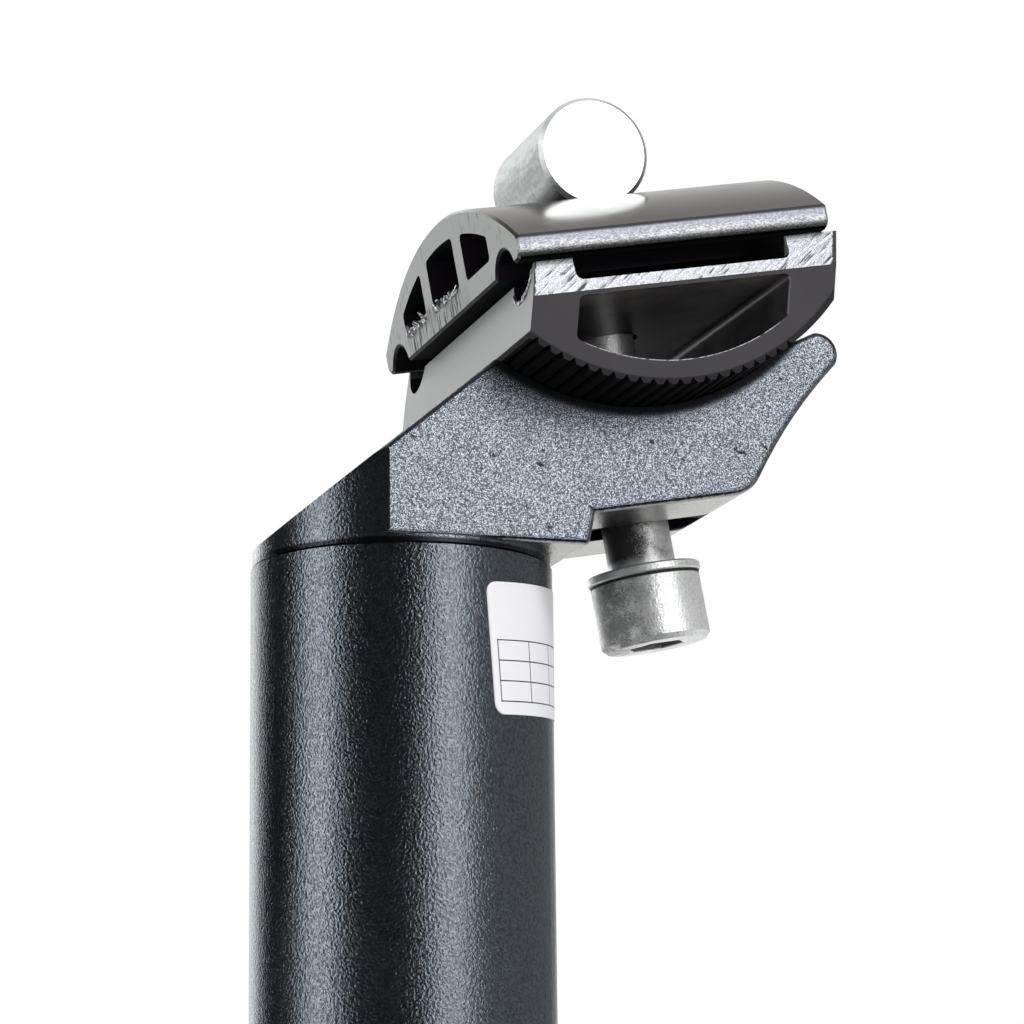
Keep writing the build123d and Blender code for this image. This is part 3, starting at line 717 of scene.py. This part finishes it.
def makeLabel():
    columns, rows = tubeLabel["columns"], tubeLabel["rows"]
    points, places = [], []
    for radius in (tubeRadius + tubeLabel["thick"], tubeRadius - tubeLabel["sunk"]):
        for j in range(rows + 1):
            v = tubeLabel["height"] * (1 - math.cos(math.pi * j / rows)) / 2
            end = max(tubeLabel["corner"] - min(v, tubeLabel["height"] - v), 0)
            inset = tubeLabel["corner"] - math.sqrt(tubeLabel["corner"] ** 2 - end ** 2)
            for i in range(columns + 1):
                u = inset + (tubeLabel["width"] - 2 * inset) * i / columns
                points.append(labelPoint(u, v, radius))
                places.append((u / tubeLabel["width"], 1 - v / tubeLabel["height"]))
    layer = (columns + 1) * (rows + 1)
    faces = []
    for j in range(rows):
        for i in range(columns):
            a = j * (columns + 1) + i
            b = a + columns + 1
            faces.append((a, b, b + 1, a + 1))
            faces.append((layer + a, layer + a + 1, layer + b + 1, layer + b))
    # closed edge between the front and the back
    ring = [j * (columns + 1) for j in range(rows + 1)]
    ring += [rows * (columns + 1) + i for i in range(1, columns + 1)]
    ring += [j * (columns + 1) + columns for j in range(rows - 1, -1, -1)]
    ring += [i for i in range(columns - 1, 0, -1)]
    for k, a in enumerate(ring):
        b = ring[(k + 1) % len(ring)]
        faces.append((a, layer + a, layer + b, b))
    data = bpy.data.meshes.new("tube_label")
    data.from_pydata(points, [], faces)
    sheet = data.uv_layers.new(name="sheet")
    for loop in data.loops:
        sheet.data[loop.index].uv = places[loop.vertex_index]
    for face in data.polygons:
        face.use_smooth = True
    data.materials.append(makeLabelPaper())
    label = bpy.data.objects.new("tube_label", data)
    scene.collection.objects.link(label)
    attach(label, "post")


makeLabel()
print("label laid on the tube")

# Camera, from the photograph's outlines
camera = {"place": Vector((-111.887 * mm, -404.887 * mm, -83.117 * mm)), "yaw": 17.205, "pitch": 12.125,
          "roll": -0.602, "focalPixels": 3690.9, "imagePixels": 1024, "sensor": 36.0, "clip": (0.01, 50)}


def makeCamera():
    yaw, pitch, roll = (math.radians(camera[key]) for key in ("yaw", "pitch", "roll"))
    ahead = Vector((math.sin(yaw) * math.cos(pitch), math.cos(yaw) * math.cos(pitch), math.sin(pitch)))
    level = Vector((math.cos(yaw), -math.sin(yaw), 0))
    upright = level.cross(ahead)
    right = level * math.cos(roll) + upright * math.sin(roll)
    up = upright * math.cos(roll) - level * math.sin(roll)
    data = bpy.data.cameras.new("camera")
    data.sensor_fit = "HORIZONTAL"
    data.sensor_width = camera["sensor"]
    data.lens = camera["focalPixels"] / camera["imagePixels"] * camera["sensor"]
    data.clip_start, data.clip_end = camera["clip"]
    taker = bpy.data.objects.new("camera", data)
    scene.collection.objects.link(taker)
    turn = Matrix((right, up, -ahead)).transposed().to_4x4()
    taker.matrix_world = Matrix.Translation(camera["place"]) @ turn
    scene.camera = taker


makeCamera()
print("camera set")

# Studio: pale floor, white surround, four soft boxes, and cards that shape the reflections
studio = {"floorSize": 6.0, "floorColor": (0.80, 0.80, 0.79, 1), "floorRough": 0.8, "floorSpecular": 0.2,
          "floorGrain": (3 * mm, 3, 0.5), "floorDepth": 0.02 * mm, "floorFade": (0.40, 1.0),
          "surround": 1.0, "fill": 0.5, "aim": Vector((0.01, 0, 0.01)), "wattsPerArea": 4,
          "boxes": {"rightBox": {"turn": 36, "rise": 16, "away": 1.1, "size": (0.37, 1.0), "glow": 2.6},
                    "keyBox": {"turn": 28, "rise": 50, "away": 1.1, "size": (0.32, 0.32), "glow": 16},
                    "leftBox": {"turn": -66, "rise": 10, "away": 1.1, "size": (0.33, 1.3), "glow": 2.7},
                    "backBox": {"turn": -151, "rise": 14, "away": 1.3, "size": (0.52, 1.9), "glow": 1.4}},
          "cards": {"cameraCard": {"from": -56, "to": 22, "color": (0.01, 0.01, 0.012, 1)},
                    "sideCard": {"from": 45, "to": 160, "color": (0.54, 0.54, 0.54, 1)},
                    "leftCard": {"from": -138, "to": -77, "color": (0.04, 0.04, 0.045, 1)}},
          "cardAway": 1.6, "cardLow": -0.3, "cardHigh": 2.2, "cardSteps": 12, "cardRough": 0.9,
          "cardSpecular": 0.1, "rug": {"reach": 1.2, "halfWidth": 0.5, "behind": 0.05, "above": 1 * mm,
                                       "color": (0.012, 0.012, 0.014, 1)}}
floorLevel = cadBox[0][2]
towardCamera = Vector((camera["place"].x, camera["place"].y, 0)).normalized()
towardRight = Vector((-towardCamera.y, towardCamera.x, 0))


def around(turn, rise=0.0):
    # direction seen from the part: turn counts from the camera to the right
    a, b = math.radians(turn), math.radians(rise)
    level = towardCamera * math.cos(a) + towardRight * math.sin(a)
    return level * math.cos(b) + upDir * math.sin(b)


def seenDirectly(tree):
    # 1 for what the camera sees, also in metal and glass
    path = addNode(tree, "LightPath").outputs
    seen = calc(tree, "ADD", path["Is Camera Ray"], path["Is Glossy Ray"])
    return calc(tree, "ADD", seen, path["Is Transmission Ray"], clamp=True)


def makeFloor():
    data = bpy.data.meshes.new("floor")
    half = studio["floorSize"] / 2
    corners = [(-half, -half), (half, -half), (half, half), (-half, half)]
    data.from_pydata([(x, y, floorLevel) for x, y in corners], [], [(0, 1, 2, 3)])
    material, tree, shader = startMaterial("floorPaper")
    coords = objectCoords(tree)
    grain = noise(tree, coords, *studio["floorGrain"])
    setInputs(tree, shader, color=studio["floorColor"], roughness=studio["floorRough"],
              specular=studio["floorSpecular"], normal=bump(tree, grain, studio["floorDepth"]))
    # away from the part the floor fades into the white surround
    reach = addNode(tree, "VectorMath", {0: coords}, operation="LENGTH").outputs["Value"]
    fade = remap(tree, reach, *studio["floorFade"], smooth=True)
    glow = addNode(tree, "Emission", {"Color": white, "Strength": studio["surround"]})
    both = addNode(tree, "MixShader", {0: product(tree, fade, seenDirectly(tree)), 1: shader.outputs[0],
                                       2: glow.outputs[0]})
    tree.links.new(both.outputs[0], tree.nodes["Material Output"].inputs["Surface"])
    data.materials.append(material)
    floor = bpy.data.objects.new("floor", data)
    scene.collection.objects.link(floor)


def makeBoxes():
    for name, box in studio["boxes"].items():
        data = bpy.data.lights.new(name, "AREA")
        data.shape = "RECTANGLE"
        data.size, data.size_y = box["size"]
        data.energy = studio["wattsPerArea"] * data.size * data.size_y * box["glow"]
        lamp = bpy.data.objects.new(name, data)
        scene.collection.objects.link(lamp)
        out = around(box["turn"], box["rise"])
        lamp.location = studio["aim"] + out * box["away"]
        lamp.rotation_euler = out.to_track_quat("Z", "Y").to_euler()
        lamp.visible_camera = False


def addPanel(name, points, faces, color):
    # a card that only reflections see
    material, tree, shader = startMaterial(name)
    setInputs(tree, shader, color=color, roughness=studio["cardRough"], specular=studio["cardSpecular"])
    data = bpy.data.meshes.new(name)
    data.from_pydata(points, [], faces)
    data.materials.append(material)
    panel = bpy.data.objects.new(name, data)
    scene.collection.objects.link(panel)
    panel.visible_camera = False
    panel.visible_diffuse = False
    panel.visible_shadow = False


def makeCards():
    rug = studio["rug"]
    corners = []
    for ahead, aside in ((-rug["behind"], -1), (-rug["behind"], 1), (rug["reach"], 1), (rug["reach"], -1)):
        corner = towardCamera * ahead + towardRight * aside * rug["halfWidth"]
        corners.append((corner.x, corner.y, floorLevel + rug["above"]))
    addPanel("floorCard", corners, [(0, 1, 2, 3)], rug["color"])
    steps = studio["cardSteps"]
    for name, card in studio["cards"].items():
        points = []
        for step in range(steps + 1):
            out = around(card["from"] + (card["to"] - card["from"]) * step / steps) * studio["cardAway"]
            points.append((out.x, out.y, studio["cardLow"]))
            points.append((out.x, out.y, studio["cardHigh"]))
        faces = [(2 * i, 2 * i + 2, 2 * i + 3, 2 * i + 1) for i in range(steps)]
        addPanel(name, points, faces, card["color"])


def makeSurround():
    world = bpy.data.worlds.new("surround")
    scene.world = world
    world.use_nodes = True
    tree = world.node_tree
    tree.nodes.clear()
    fill = addNode(tree, "Background", {"Color": white, "Strength": studio["fill"]})
    backdrop = addNode(tree, "Background", {"Color": white, "Strength": studio["surround"]})
    both = addNode(tree, "MixShader", {0: seenDirectly(tree), 1: fill.outputs[0], 2: backdrop.outputs[0]})
    addNode(tree, "OutputWorld", {"Surface": both.outputs[0]})


makeFloor()
makeBoxes()
makeCards()
makeSurround()
scene.view_settings.view_transform = "Standard"
print("studio ready")
